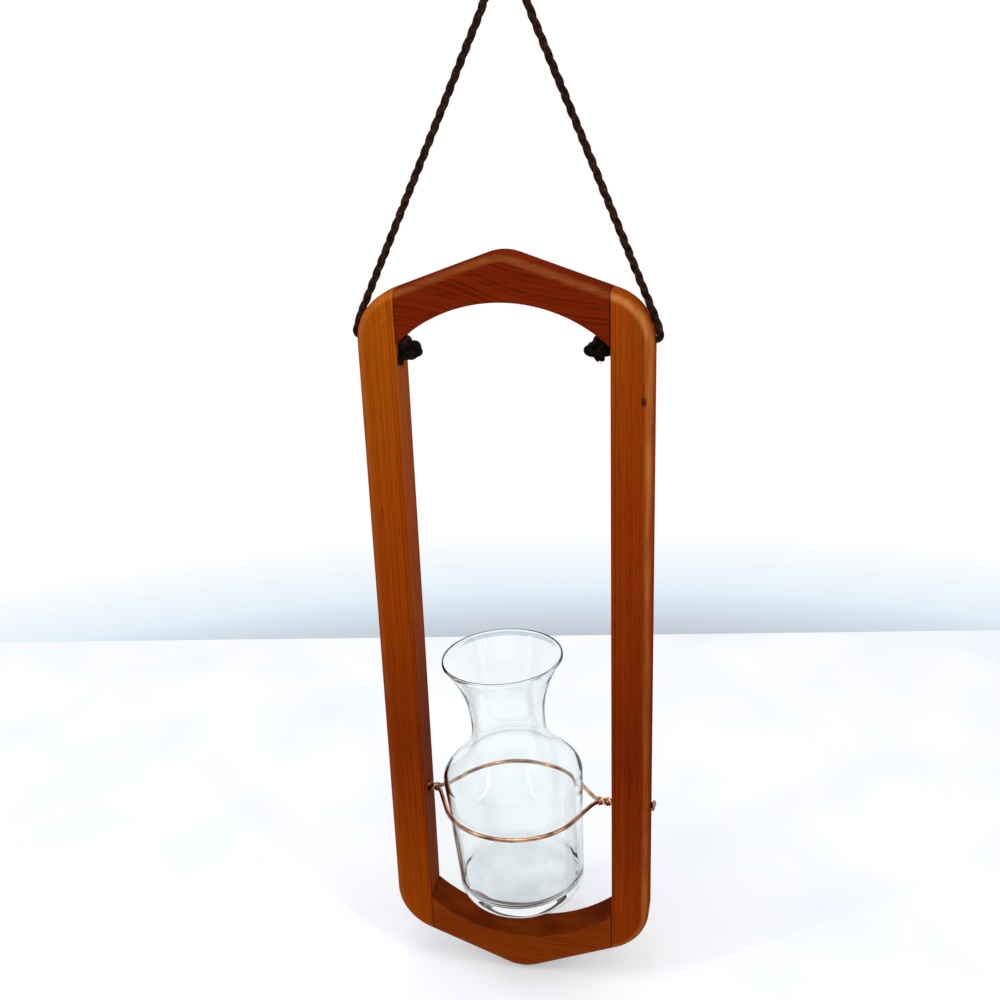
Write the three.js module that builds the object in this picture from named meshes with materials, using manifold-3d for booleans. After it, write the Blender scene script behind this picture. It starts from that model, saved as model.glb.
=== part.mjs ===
// Hanging bud vase: a glass carafe in a copper wire ring, inside a wooden frame on a cord.
// Millimetres, +Z up, +Y away from the viewer. The origin is where a hook carries the cord.
import * as THREE from 'three';
import { mergeVertices } from 'three/addons/utils/BufferGeometryUtils.js';
import Module from 'manifold-3d';

const wasm = await Module();
wasm.setup();

// Where the frame hangs: its centre plane lies left of the hook, its arch ends below it
const HANG_OFFSET = 4.5;
const HANG_DROP = 138.5;

// Wooden frame, seen from the front; the stiles stand clear of the vase's widest part
const SIDE_SPACE = 12;
const WOOD_THICKNESS = 17.4;
const STILE_WIDTH = 17.8;
const OPENING_HEIGHT = 284;
const TOP_RAIL_END = 23.2;
const TOP_PEAK_RISE = 16.3;
const ARCH_RISE = 18.2;
const BOTTOM_RAIL_END = 21.4;
const BOTTOM_POINT_DROP = 18.4;
const DIP_DEPTH = 17.6;
const PEAK_RADIUS = 20;
const TOP_CORNER_RADIUS = 23;
const BOTTOM_CORNER_RADIUS = 25;
const EDGE_RADIUS = 4;
const JOINT_GAP = 0.25;

// Dowels, two side by side in each joint
const DOWEL_DIAMETER = 5;
const DOWEL_LENGTH = 16;
const DOWEL_SPACING = 8;
const DOWEL_CLEARANCE = 0.3;

// Cord, its slanted holes through the stiles and its knots
const CORD_DIAMETER = 3.2;
const CORD_SIDES = 8;
const CORD_STEPS = 72;
const CORD_HOLE_DIAMETER = 4.8;
const CORD_HOLE_DROP = 3;
const CORD_HOLE_RISE = 4.4;
const KNOT_STRAND = 3.9;
const KNOT_TURN_RADIUS = 2.7;
const KNOT_STANDOFF = 0.4;
const KNOT_TURN_STEP = 3.8;
const KNOT_BULGE = 1.5;

// Copper ring: two wires round the vase, twisted together into the stiles
const WIRE_DIAMETER = 2;
const WIRE_SIDES = 8;
const WIRE_HOLE_HEIGHT = 59.9;
const STRAND_GAP = 0.3;
const WIRE_HOLE_CLEARANCE = 0.3;
const WIRES_PER_TWIST = 4;
const LEFT_SPLIT_REACH = 3.8;
const RIGHT_SPLIT_REACH = 5.9;
const RING_SAG = 2.5;
const VASE_CLEARANCE = 0.35;
const TAIL_LENGTH = 5;
const TAIL_GAP = 0.3;

// Glass vase, measured along its own axis from the table side of its base
const VASE_OFFSET = 2.3;
const VASE_LEAN_DEGREES = 3;
const VASE_RING_HEIGHT = 51.8;
const VASE_HEIGHT = 129.5;
const BASE_RADIUS = 30.6;
const BASE_CORNER = 9.4;
const FOOT_WIDTH = 3;
const PUNT_DEPTH = 1;
const SHOULDER_RADIUS = 33.7;
const SHOULDER_HEIGHT = 66;
const SHOULDER_PULL = 8;
const NECK_RADIUS = 17.6;
const NECK_HEIGHT = 95.5;
const NECK_PULL = 19;
const MOUTH_RADIUS = 28.5;
const FLARE_POWER = 2.1;
const GLASS_WALL = 2.6;
const GLASS_FLOOR = 7;
const FLOOR_CORNER = 7;
const VASE_SIDES = 40;

// Free cord: from one shoulder over the hook to the other, as X and Z from the hook
const CORD_ROUTE = [
  [-67.5, -127.1], [-54.3, -100], [-42.2, -75], [-30, -50], [-17.9, -25], [-10.6, -10],
  [-7.2, -2.9], [-4.6, 0.2], [0, 1.6], [4.6, 0.2], [7.4, -3.3],
  [10.1, -10], [16.3, -25], [26.7, -50], [37, -75], [47.3, -100], [58.5, -127.1],
];

// Each end of the cord: down the shoulder, round into the hole and through it, as X and Z in the frame
const CORD_END_ROUTE = [
  [63.3, 10.6], [64.6, 7.1], [65.3, 4.2], [65.1, 2.9], [64.2, 1.8], [62.6, 1.2],
  [58, 0], [52, -1.4], [47.5, -2.6], [43, -3.7],
];

// How each knot lies: heights of its two turns, the second turn's axis, and the cut end's direction
const LEFT_KNOT = {
  firstZ: -4.6,
  secondZ: -2,
  axis: new THREE.Vector3(1, 0.35, -0.5),
  tail: new THREE.Vector3(1, -3, 1.8),
};
const RIGHT_KNOT = {
  firstZ: -3.4,
  secondZ: -1.2,
  axis: new THREE.Vector3(1, -0.3, -0.35),
  tail: new THREE.Vector3(-1.5, -2.6, -2.4),
};

// Worked out from the sizes above; the frame's own zero height is at the arch ends
const INNER_HALF = SHOULDER_RADIUS + SIDE_SPACE;
const HALF_WIDTH = INNER_HALF + STILE_WIDTH;
const FRAME_WIDTH = HALF_WIDTH * 2;
const RAIL_HALF = INNER_HALF - JOINT_GAP;
const DIP_END_Z = -OPENING_HEIGHT;
const WIRE_HOLE_Z = DIP_END_Z + WIRE_HOLE_HEIGHT;
const WIRE_RADIUS = WIRE_DIAMETER / 2;
const STRAND_OFFSET = WIRE_RADIUS + STRAND_GAP / 2;
const TWIST_PITCH = WIRE_DIAMETER * WIRES_PER_TWIST;
const FOOT_RADIUS = BASE_RADIUS - BASE_CORNER - FOOT_WIDTH;
const CUT_DEPTH = WOOD_THICKNESS * 2;
const VASE_LEAN = THREE.MathUtils.degToRad(VASE_LEAN_DEGREES);

const wood = (color) => new THREE.MeshStandardMaterial({ color, roughness: 0.45, metalness: 0 });
const STILE_FINISH = wood(0x9a4d12);
const RAIL_FINISH = wood(0x7d300c);
const DOWEL_FINISH = wood(0xc9a36a);
const CORD_FINISH = new THREE.MeshStandardMaterial({ color: 0x241610, roughness: 0.9, metalness: 0 });
const COPPER_FINISH = new THREE.MeshStandardMaterial({ color: 0xb8754f, roughness: 0.3, metalness: 1 });
const GLASS_FINISH = new THREE.MeshStandardMaterial({
  color: 0xeaf3f2, roughness: 0.05, metalness: 0, transparent: true, opacity: 0.35,
});

// Solids for cutting and joining

function toSolid(geometry) {
  const plain = geometry.clone();
  plain.deleteAttribute('normal');
  plain.deleteAttribute('uv');
  const merged = mergeVertices(plain, 1e-4);
  return new wasm.Manifold(new wasm.Mesh({
    numProp: 3,
    vertProperties: new Float32Array(merged.attributes.position.array),
    triVerts: new Uint32Array(merged.index.array),
  }));
}

function toGeometry(solid) {
  const mesh = solid.getMesh();
  const geometry = new THREE.BufferGeometry();
  geometry.setAttribute('position', new THREE.BufferAttribute(new Float32Array(mesh.vertProperties), 3));
  geometry.setIndex(new THREE.BufferAttribute(new Uint32Array(mesh.triVerts), 1));
  geometry.computeVertexNormals();
  return geometry;
}

function addMesh(group, name, geometry, material) {
  const mesh = new THREE.Mesh(geometry, material);
  mesh.name = name;
  group.add(mesh);
}

// Extrudes a front-view shape through the wood, centred on the frame's middle plane
function extrudeFront(shape, depth, bevel = {}) {
  const geometry = new THREE.ExtrudeGeometry(shape, { depth, curveSegments: 8, bevelEnabled: false, ...bevel });
  geometry.translate(0, 0, -depth / 2);
  geometry.rotateX(Math.PI / 2);
  return geometry;
}

// A round bar between two points
function bar(from, to, radius, sides) {
  const length = from.distanceTo(to);
  const geometry = new THREE.CylinderGeometry(radius, radius, length, sides);
  const direction = to.clone().sub(from).normalize();
  geometry.applyQuaternion(new THREE.Quaternion().setFromUnitVectors(new THREE.Vector3(0, 1, 0), direction));
  const middle = from.clone().add(to).multiplyScalar(0.5);
  geometry.translate(middle.x, middle.y, middle.z);
  return geometry;
}

// A closed outline through corner points, each corner rounded to its own radius
function roundedOutline(corners) {
  const shape = new THREE.Shape();
  corners.forEach(({ point, radius }, i) => {
    const before = corners[(i + corners.length - 1) % corners.length].point;
    const after = corners[(i + 1) % corners.length].point;
    const toBefore = before.clone().sub(point).normalize();
    const toAfter = after.clone().sub(point).normalize();
    const half = Math.acos(toBefore.dot(toAfter)) / 2;
    const centre = toBefore.clone().add(toAfter).normalize().multiplyScalar(radius / Math.sin(half)).add(point);
    const start = point.clone().addScaledVector(toBefore, radius / Math.tan(half)).sub(centre);
    const end = point.clone().addScaledVector(toAfter, radius / Math.tan(half)).sub(centre);
    shape.absarc(centre.x, centre.y, radius, start.angle(), end.angle(), true);
  });
  return shape;
}

// The whole frame as one board with rounded-over outer edges; the pieces are cut out of it
function frameBoard() {
  const topSlope = TOP_PEAK_RISE / INNER_HALF;
  const bottomSlope = BOTTOM_POINT_DROP / INNER_HALF;
  const topCorner = TOP_RAIL_END - topSlope * STILE_WIDTH;
  const bottomCorner = DIP_END_Z - BOTTOM_RAIL_END + bottomSlope * STILE_WIDTH;
  const corner = (x, z, radius) => ({ point: new THREE.Vector2(x, z), radius });
  const outline = roundedOutline([
    corner(0, TOP_RAIL_END + TOP_PEAK_RISE, PEAK_RADIUS),
    corner(HALF_WIDTH, topCorner, TOP_CORNER_RADIUS),
    corner(HALF_WIDTH, bottomCorner, BOTTOM_CORNER_RADIUS),
    corner(0, DIP_END_Z - BOTTOM_RAIL_END - BOTTOM_POINT_DROP, PEAK_RADIUS),
    corner(-HALF_WIDTH, bottomCorner, BOTTOM_CORNER_RADIUS),
    corner(-HALF_WIDTH, topCorner, TOP_CORNER_RADIUS),
  ]);
  return toSolid(extrudeFront(outline, WOOD_THICKNESS - 2 * EDGE_RADIUS, {
    bevelEnabled: true,
    bevelSize: EDGE_RADIUS,
    bevelOffset: -EDGE_RADIUS,
    bevelThickness: EDGE_RADIUS,
    bevelSegments: 4,
  }));
}

// The part of the board that a rail keeps: an arc on the opening's side, square ends at the stiles
function railRegion(endZ, arcHeight, farZ) {
  const radius = (INNER_HALF ** 2 + arcHeight ** 2) / (2 * Math.abs(arcHeight));
  const side = Math.sign(arcHeight);
  const middleZ = endZ + arcHeight - side * radius;
  const endAngle = Math.asin(RAIL_HALF / radius);
  const quarter = Math.PI / 2;
  const shape = new THREE.Shape();
  shape.absarc(0, middleZ, radius, side * (quarter + endAngle), side * (quarter - endAngle), side > 0);
  shape.lineTo(RAIL_HALF, farZ);
  shape.lineTo(-RAIL_HALF, farZ);
  return toSolid(extrudeFront(shape, CUT_DEPTH));
}

function stileRegion(side) {
  const geometry = new THREE.BoxGeometry(FRAME_WIDTH, CUT_DEPTH, OPENING_HEIGHT * 2);
  geometry.translate(side * (INNER_HALF + FRAME_WIDTH / 2), 0, DIP_END_Z / 2);
  return toSolid(geometry);
}

// Dowels

// Half-way up each joint
const DOWEL_HEIGHTS = { top: TOP_RAIL_END / 2, bottom: DIP_END_Z - BOTTOM_RAIL_END / 2 };

function dowelPlaces() {
  const places = [];
  for (const [end, z] of Object.entries(DOWEL_HEIGHTS)) {
    for (const [hand, side] of [['left', -1], ['right', 1]]) {
      for (const [depth, y] of [['front', -DOWEL_SPACING / 2], ['back', DOWEL_SPACING / 2]]) {
        places.push({ name: `${end}_${hand}_${depth}_dowel`, middle: new THREE.Vector3(side * INNER_HALF, y, z) });
      }
    }
  }
  return places;
}

function dowelBar(middle, length, radius) {
  const reach = new THREE.Vector3(length / 2, 0, 0);
  return bar(middle.clone().sub(reach), middle.clone().add(reach), radius, 12);
}

// Drilled holes through a stile

function cordHoleEnds(side) {
  const slope = CORD_HOLE_RISE / STILE_WIDTH;
  const at = (x) => new THREE.Vector3(side * x, 0, (x - INNER_HALF) * slope - CORD_HOLE_DROP);
  return [at(INNER_HALF - STILE_WIDTH / 2), at(HALF_WIDTH + STILE_WIDTH / 2)];
}

function wireHole(side) {
  const radius = STRAND_OFFSET + WIRE_RADIUS + WIRE_HOLE_CLEARANCE;
  const at = (x) => new THREE.Vector3(side * x, 0, WIRE_HOLE_Z);
  return bar(at(INNER_HALF - STILE_WIDTH / 2), at(HALF_WIDTH + STILE_WIDTH / 2), radius, 16);
}

function addWood(group) {
  const board = frameBoard();
  const dowels = dowelPlaces();
  const drill = (solid) => dowels.reduce((rest, { middle }) => {
    const hole = dowelBar(middle, DOWEL_LENGTH + 2 * DOWEL_CLEARANCE, DOWEL_DIAMETER / 2 + DOWEL_CLEARANCE);
    return rest.subtract(toSolid(hole));
  }, solid);

  for (const [name, side] of [['left_stile', -1], ['right_stile', 1]]) {
    const [inside, outside] = cordHoleEnds(side);
    const stile = drill(board.intersect(stileRegion(side)))
      .subtract(toSolid(bar(inside, outside, CORD_HOLE_DIAMETER / 2, 16)))
      .subtract(toSolid(wireHole(side)));
    addMesh(group, name, toGeometry(stile), STILE_FINISH);
  }
  const beyond = TOP_RAIL_END + TOP_PEAK_RISE + BOTTOM_RAIL_END + BOTTOM_POINT_DROP;
  const topRegion = railRegion(0, ARCH_RISE, beyond);
  addMesh(group, 'top_rail', toGeometry(drill(board.intersect(topRegion))), RAIL_FINISH);
  const bottomRegion = railRegion(DIP_END_Z, -DIP_DEPTH, DIP_END_Z - beyond);
  addMesh(group, 'bottom_rail', toGeometry(drill(board.intersect(bottomRegion))), RAIL_FINISH);

  for (const { name, middle } of dowels) {
    addMesh(group, name, dowelBar(middle, DOWEL_LENGTH, DOWEL_DIAMETER / 2), DOWEL_FINISH);
  }
}

// Cord and wire

function roundSection(radius, sides) {
  const corners = [];
  for (let i = 0; i < sides; i += 1) {
    const angle = (i + 0.5) * 2 * Math.PI / sides;
    corners.push(new THREE.Vector2(radius * Math.cos(angle), radius * Math.sin(angle)));
  }
  return new THREE.Shape(corners);
}

// A curve that is sampled at its own control points, so that tight turns get more steps
class PointRoute extends THREE.CatmullRomCurve3 {
  getUtoTmapping(u) {
    return u;
  }
}

function tubeThrough(points, diameter, sides, stepsPerPoint) {
  return new THREE.ExtrudeGeometry(roundSection(diameter / 2, sides), {
    steps: (points.length - 1) * stepsPerPoint,
    extrudePath: new PointRoute(points, false, 'centripetal'),
  });
}

function addFreeCord(group) {
  const points = CORD_ROUTE.map(([x, z]) => new THREE.Vector3(x, 0, z));
  const tube = new THREE.ExtrudeGeometry(roundSection(CORD_DIAMETER / 2, CORD_SIDES), {
    steps: CORD_STEPS,
    extrudePath: new THREE.CatmullRomCurve3(points, false, 'centripetal'),
  });
  addMesh(group, 'hanging_cord', tube, CORD_FINISH);
}

// One turn of a knot: cord drawn into a flattened ball about a given axis
function knotTurn(centre, axis) {
  const reach = KNOT_TURN_RADIUS + KNOT_STRAND / 2;
  const geometry = new THREE.SphereGeometry(1, 16, 10);
  geometry.rotateX(Math.PI / 2);
  geometry.scale(reach, reach, KNOT_STRAND * KNOT_BULGE / 2);
  const turn = new THREE.Quaternion().setFromUnitVectors(new THREE.Vector3(0, 0, 1), axis.clone().normalize());
  geometry.applyQuaternion(turn);
  geometry.translate(centre.x, centre.y, centre.z);
  return toSolid(geometry);
}

// Two turns drawn tight against the stile's inner face, with the cut end of the cord standing out
function addCordEnd(group, name, side, { firstZ, secondZ, axis, tail }) {
  const points = CORD_END_ROUTE.map(([x, z]) => new THREE.Vector3(side * x, 0, z));
  const firstX = INNER_HALF - KNOT_STANDOFF - KNOT_STRAND * KNOT_BULGE / 2;
  const first = new THREE.Vector3(side * firstX, 0, firstZ);
  const second = new THREE.Vector3(side * (firstX - KNOT_TURN_STEP), 0, secondZ);
  const stub = bar(second, second.clone().add(tail), KNOT_STRAND / 2, 8);
  const end = toSolid(tubeThrough(points, CORD_DIAMETER, CORD_SIDES, 1))
    .add(knotTurn(first, new THREE.Vector3(1, 0, 0)))
    .add(knotTurn(second, axis))
    .add(toSolid(stub));
  addMesh(group, name, toGeometry(end), CORD_FINISH);
}

// Glass vase

// The outside from the base's corner up to the rim, as radius and height
function vaseOutside() {
  const points = [];
  const cornerSteps = 5;
  for (let i = 0; i <= cornerSteps; i += 1) {
    const angle = (i / cornerSteps) * Math.PI / 2;
    points.push([BASE_RADIUS - BASE_CORNER + BASE_CORNER * Math.sin(angle), BASE_CORNER * (1 - Math.cos(angle))]);
  }
  const shoulder = new THREE.CubicBezierCurve(
    new THREE.Vector2(SHOULDER_RADIUS, SHOULDER_HEIGHT),
    new THREE.Vector2(SHOULDER_RADIUS, SHOULDER_HEIGHT + SHOULDER_PULL),
    new THREE.Vector2(NECK_RADIUS, NECK_HEIGHT - NECK_PULL),
    new THREE.Vector2(NECK_RADIUS, NECK_HEIGHT),
  );
  shoulder.getPoints(9).forEach(({ x, y }) => points.push([x, y]));
  const flareSteps = 6;
  for (let i = 1; i <= flareSteps; i += 1) {
    const share = i / flareSteps;
    const radius = NECK_RADIUS + (MOUTH_RADIUS - NECK_RADIUS) * share ** FLARE_POWER;
    points.push([radius, NECK_HEIGHT + (VASE_HEIGHT - GLASS_WALL / 2 - NECK_HEIGHT) * share]);
  }
  return points;
}

// The radius of the outside at a height
function vaseRadiusAt(height) {
  const outside = vaseOutside();
  const above = outside.findIndex(([, h]) => h >= height);
  const [r0, h0] = outside[above - 1];
  const [r1, h1] = outside[above];
  return r0 + (r1 - r0) * (height - h0) / (h1 - h0);
}

function vaseGeometry() {
  const outside = vaseOutside();
  const inside = outside.filter(([, h]) => h > GLASS_FLOOR + FLOOR_CORNER).map(([r, h]) => [r - GLASS_WALL, h]);
  const floorRadius = vaseRadiusAt(GLASS_FLOOR + FLOOR_CORNER) - GLASS_WALL;
  const floor = [];
  const cornerSteps = 4;
  for (let i = 0; i <= cornerSteps; i += 1) {
    const angle = (i / cornerSteps) * Math.PI / 2;
    const radius = floorRadius - FLOOR_CORNER + FLOOR_CORNER * Math.cos(angle);
    floor.push([radius, GLASS_FLOOR + FLOOR_CORNER * (1 - Math.sin(angle))]);
  }
  const rim = [0.25, 0.5, 0.75].map((share) => [
    MOUTH_RADIUS - GLASS_WALL / 2 + GLASS_WALL / 2 * Math.cos(share * Math.PI),
    VASE_HEIGHT - GLASS_WALL / 2 + GLASS_WALL / 2 * Math.sin(share * Math.PI),
  ]);
  const profile = [
    [0, PUNT_DEPTH], [FOOT_RADIUS - PUNT_DEPTH, PUNT_DEPTH], [FOOT_RADIUS, 0],
    ...outside, ...rim, ...inside.reverse(), ...floor, [0, GLASS_FLOOR],
  ];
  const geometry = new THREE.LatheGeometry(profile.map(([r, h]) => new THREE.Vector2(r, h)), VASE_SIDES);
  geometry.rotateX(Math.PI / 2);
  return geometry;
}

// The vase leans in its ring, with its axis through the ring's middle
function addVase(group) {
  const vase = new THREE.Group();
  vase.position.set(-VASE_OFFSET, 0, WIRE_HOLE_Z - RING_SAG);
  vase.rotation.y = -VASE_LEAN;
  const geometry = vaseGeometry();
  geometry.translate(0, 0, -VASE_RING_HEIGHT);
  addMesh(vase, 'glass_vase', geometry, GLASS_FINISH);
  group.add(vase);
}

// Copper ring

// One side's twist: from the split beside the vase out through the stile to the bent-over tail
function twistPoints(side, facing, startX, tailFacing) {
  const endX = HALF_WIDTH - WIRE_RADIUS;
  const turns = Math.floor((endX - startX) / TWIST_PITCH) + 0.25;
  const steps = Math.round(turns * 10);
  const firstAngle = facing > 0 ? 0 : Math.PI;
  const points = [];
  for (let i = 0; i <= steps; i += 1) {
    const angle = firstAngle + (i / steps) * turns * 2 * Math.PI;
    const x = startX + (i / steps) * (endX - startX);
    points.push(new THREE.Vector3(
      side * x,
      STRAND_OFFSET * Math.cos(angle),
      WIRE_HOLE_Z + STRAND_OFFSET * Math.sin(angle),
    ));
  }
  const tailX = HALF_WIDTH + TAIL_GAP + WIRE_RADIUS;
  const tailZ = WIRE_HOLE_Z + facing * STRAND_OFFSET;
  const bend = [
    [HALF_WIDTH, 0],
    [tailX - WIRE_RADIUS * 0.3, WIRE_RADIUS],
    [tailX, WIRE_RADIUS * 2.2],
    [tailX, TAIL_LENGTH],
  ];
  bend.forEach(([x, y]) => points.push(new THREE.Vector3(side * x, tailFacing * y, tailZ)));
  return points;
}

// Half of the ring, before or behind the vase: an arc that leaves towards each twist along a tangent
function ringArc(facing, radius, leftStart, rightStart) {
  const leaveAngle = (reach) => Math.acos(radius / reach);
  const from = Math.PI - leaveAngle(leftStart - VASE_OFFSET);
  const to = leaveAngle(rightStart + VASE_OFFSET);
  const steps = 24;
  const points = [];
  for (let i = 0; i <= steps; i += 1) {
    const angle = from + (to - from) * i / steps;
    points.push(new THREE.Vector3(
      -VASE_OFFSET + radius * Math.cos(angle),
      facing * radius * Math.sin(angle),
      WIRE_HOLE_Z - RING_SAG,
    ));
  }
  return points;
}

function addRing(group) {
  const radius = vaseRadiusAt(VASE_RING_HEIGHT) + VASE_CLEARANCE + WIRE_RADIUS;
  const leftStart = radius + VASE_OFFSET + LEFT_SPLIT_REACH;
  const rightStart = radius - VASE_OFFSET + RIGHT_SPLIT_REACH;
  for (const [name, facing] of [['ring_wire_front', -1], ['ring_wire_back', 1]]) {
    const route = [
      ...twistPoints(-1, facing, leftStart, 1).reverse(),
      ...ringArc(facing, radius, leftStart, rightStart),
      ...twistPoints(1, facing, rightStart, -facing),
    ];
    addMesh(group, name, tubeThrough(route, WIRE_DIAMETER, WIRE_SIDES, 1), COPPER_FINISH);
  }
}

// Assembly

const hangingVase = new THREE.Group();
addFreeCord(hangingVase);

const frame = new THREE.Group();
frame.position.set(-HANG_OFFSET, 0, -HANG_DROP);
addWood(frame);
addCordEnd(frame, 'left_cord_end', -1, LEFT_KNOT);
addCordEnd(frame, 'right_cord_end', 1, RIGHT_KNOT);
addRing(frame);
addVase(frame);
hangingVase.add(frame);

export default hangingVase;
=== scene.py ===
# Hanging bud vase: a glass carafe in a copper wire ring, inside a wooden frame on a plaited cord
import math

import bmesh
import bpy
import numpy as np
from mathutils import Matrix


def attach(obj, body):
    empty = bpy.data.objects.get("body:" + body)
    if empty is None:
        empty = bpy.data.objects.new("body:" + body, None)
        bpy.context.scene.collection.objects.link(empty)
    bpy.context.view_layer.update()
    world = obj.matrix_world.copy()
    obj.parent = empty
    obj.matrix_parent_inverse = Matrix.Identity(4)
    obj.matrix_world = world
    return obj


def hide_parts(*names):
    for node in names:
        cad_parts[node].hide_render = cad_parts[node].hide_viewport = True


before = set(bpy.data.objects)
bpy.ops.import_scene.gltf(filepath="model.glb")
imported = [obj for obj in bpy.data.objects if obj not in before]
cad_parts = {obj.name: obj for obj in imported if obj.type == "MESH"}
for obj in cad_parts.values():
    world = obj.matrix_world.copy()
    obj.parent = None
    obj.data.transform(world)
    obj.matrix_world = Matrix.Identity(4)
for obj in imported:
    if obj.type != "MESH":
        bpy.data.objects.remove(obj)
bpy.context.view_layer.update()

# Sizes are in millimetres here and go to metres when a mesh is made
MM = 0.001
X_AXIS, Y_AXIS, Z_AXIS = range(3)
FRAME_PLACE = np.array([-4.5, 0.0, -138.5])

# Camera: its axes and place in the scene, in metres, and its lens
CAMERA_RIGHT = (0.97892, 0.20143, -0.03393)
CAMERA_UP = (-0.03879, 0.34642, 0.93728)
CAMERA_BACK = (0.20055, -0.9162, 0.34693)
CAMERA_PLACE = (0.09883, -0.49327, -0.02336)
CAMERA_SENSOR = 36
CAMERA_LENS = 43.62
CAMERA_CLIP = 0.01

# Frame: half widths, heights from the arch ends, and radii
INNER_HALF = 45.7
HALF_WIDTH = 63.5
RAIL_HALF = 45.6
HALF_THICK = 8.7
TOP_RAIL_END = 23.2
TOP_PEAK = 39.5
BOTTOM_RAIL_END = -305.4
BOTTOM_POINT = -323.8
PEAK_RADIUS = 20.0
TOP_CORNER_RADIUS = 23.0
BOTTOM_CORNER_RADIUS = 25.0
ARCH_TOP = 18.2
ARCH_RADIUS = 66.48
DIP_BOTTOM = -301.6
DIP_RADIUS = 68.13
EDGE_RADIUS = 4.0
EDGE_STEPS = 8
EASED_EDGE = 0.35
EASED_BEVEL = 0.3
CAP_MARGIN = 0.12
EDGE_END = 5.6
SEAM_WIDTH = 0.5
PEAK_REACH = PEAK_RADIUS * 0.4
CORNER_STEPS = 20
PEAK_STEPS = 12
SLOPE_POINTS = 8
ARC_STEPS = 48
STILE_OUTER_POINTS = 20
STILE_INNER_POINTS = 24
SHARP_WOOD_ANGLE = 35

# Drilled holes through the stiles
WIRE_HOLE_Z = -224.1
WIRE_HOLE_RADIUS = 2.45
CORD_HOLE_RADIUS = 2.4
HOLE_SIDES = 40
CORD_HOLE_INSIDE = (INNER_HALF, -3.0)
CORD_HOLE_OUTSIDE = (HALF_WIDTH, 1.4)

# Cord: three strands plaited flat
STRANDS = 3
PLAIT_PITCH = 16.4
PLAIT_HALF_WIDTH = 0.84
PLAIT_HALF_DEPTH = 0.55
STRAND_RADIUS = 0.88
STRAND_SIDES = 12
YARN_LOBES = 4
YARN_DEPTH = 0.07
YARN_PITCH = 7.0
CORD_STEP = 0.33
CORD_CURVE_STEPS = 40
CORD_END_CURVE_STEPS = 12
CORD_ROUTE = [
    (-67.5, -127.1), (-54.3, -100), (-42.2, -75), (-30, -50), (-17.9, -25), (-10.6, -10),
    (-7.2, -2.9), (-4.6, 0.2), (0, 1.6), (4.6, 0.2), (7.4, -3.3),
    (10.1, -10), (16.3, -25), (26.7, -50), (37, -75), (47.3, -100), (58.5, -127.1),
]
CORD_END_ROUTE = [
    (63.3, 10.6), (64.6, 7.1), (65.3, 4.2), (65.1, 2.9), (64.2, 1.8), (62.6, 1.2),
    (58, 0), (52, -1.4), (47.5, -2.6),
]

# Overhand knots: the middle in the frame, the size, the axis, the side it is tied from and the cut end
LEFT_KNOT = {
    "middle": (-41.9, -2.8, -2.9), "size": 1.55,
    "axis": (0.62, -0.72, 0.3), "from_side": (-0.8, 0, -0.6),
    "tail": (0.35, -0.45, -1.0), "tail_length": 4.8,
}
RIGHT_KNOT = {
    "middle": (39.6, -0.6, -2.2), "size": 1.4,
    "axis": (-0.3, -0.9, 0.3), "from_side": (0.5, 0, -0.85),
    "tail": (-0.35, -0.3, -1.0), "tail_length": 0.8,
}
KNOT_START = math.pi + 0.45
KNOT_END = 3 * math.pi - 0.3
KNOT_DEPTH = 1.35
KNOT_STEPS = 44
KNOT_SWELL = 1.2
KNOT_SWELL_LENGTH = 2.0

# Loose fibres at the cord's cut ends
FRAY_COUNT = 14
FRAY_SEED = 7
FRAY_START = 0.6
CUT_END_POINTS = 4
FRAY_SPREAD = 0.55
FRAY_REACH = (0.8, 1.7)
FRAY_RADIUS = 0.09
FRAY_SIDES = 5
FRAY_CURVE_STEPS = 4
FRAY_SIDE = (0.3, 0.5, 0.8)

# Copper ring
WIRE_RADIUS = 1.0
WIRE_SIDES = 16
STRAND_OFFSET = 1.15
TWIST_PITCH = 6.6
RING_RADIUS = 34.272
RING_SAG = 2.5
LEFT_SPLIT = 40.372
RIGHT_SPLIT = 37.872
TAIL_GAP = 0.3
TAIL_LENGTH = 5.0
TAIL_BEND_START = 0.3
TAIL_BEND_END = 2.2
WIRE_END_SHARE = 0.8
TWIST_REMAINDER = 0.25
STEPS_PER_TWIST = 10
RING_POINTS = 25
WIRE_CURVE_STEPS = 4
SHARP_WIRE_ANGLE = 50

# Glass vase, as radii and heights on its own axis
VASE_OFFSET = 2.3
VASE_LEAN = math.radians(3)
VASE_RING_HEIGHT = 51.8
VASE_HEIGHT = 129.5
BASE_RADIUS = 30.6
BASE_CORNER = 9.4
FOOT_WIDTH = 3.0
PUNT_DEPTH = 1.0
SHOULDER_RADIUS = 33.7
SHOULDER_HEIGHT = 66.0
SHOULDER_PULL = 8.0
NECK_RADIUS = 17.6
NECK_HEIGHT = 95.5
NECK_PULL = 19.0
MOUTH_RADIUS = 28.5
FLARE_POWER = 2.1
GLASS_WALL = 1.3
LIP_WALL = 1.0
RIM_ROUND = 1.3
RIM_START = VASE_HEIGHT - RIM_ROUND
GLASS_FLOOR = 7.0
FLOOR_CORNER = 7.0
VASE_SEGMENTS = 160
BASE_CORNER_POINTS = 17
BODY_POINTS = 13
SHOULDER_POINTS = 33
FLARE_POINTS = 21
ROUND_POINTS = 13
PUNT_POINTS = 14
PUNT_START = 0.06
FLOOR_CENTRE_SHARE = 0.5
SHARP_GLASS_ANGLE = 60

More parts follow.
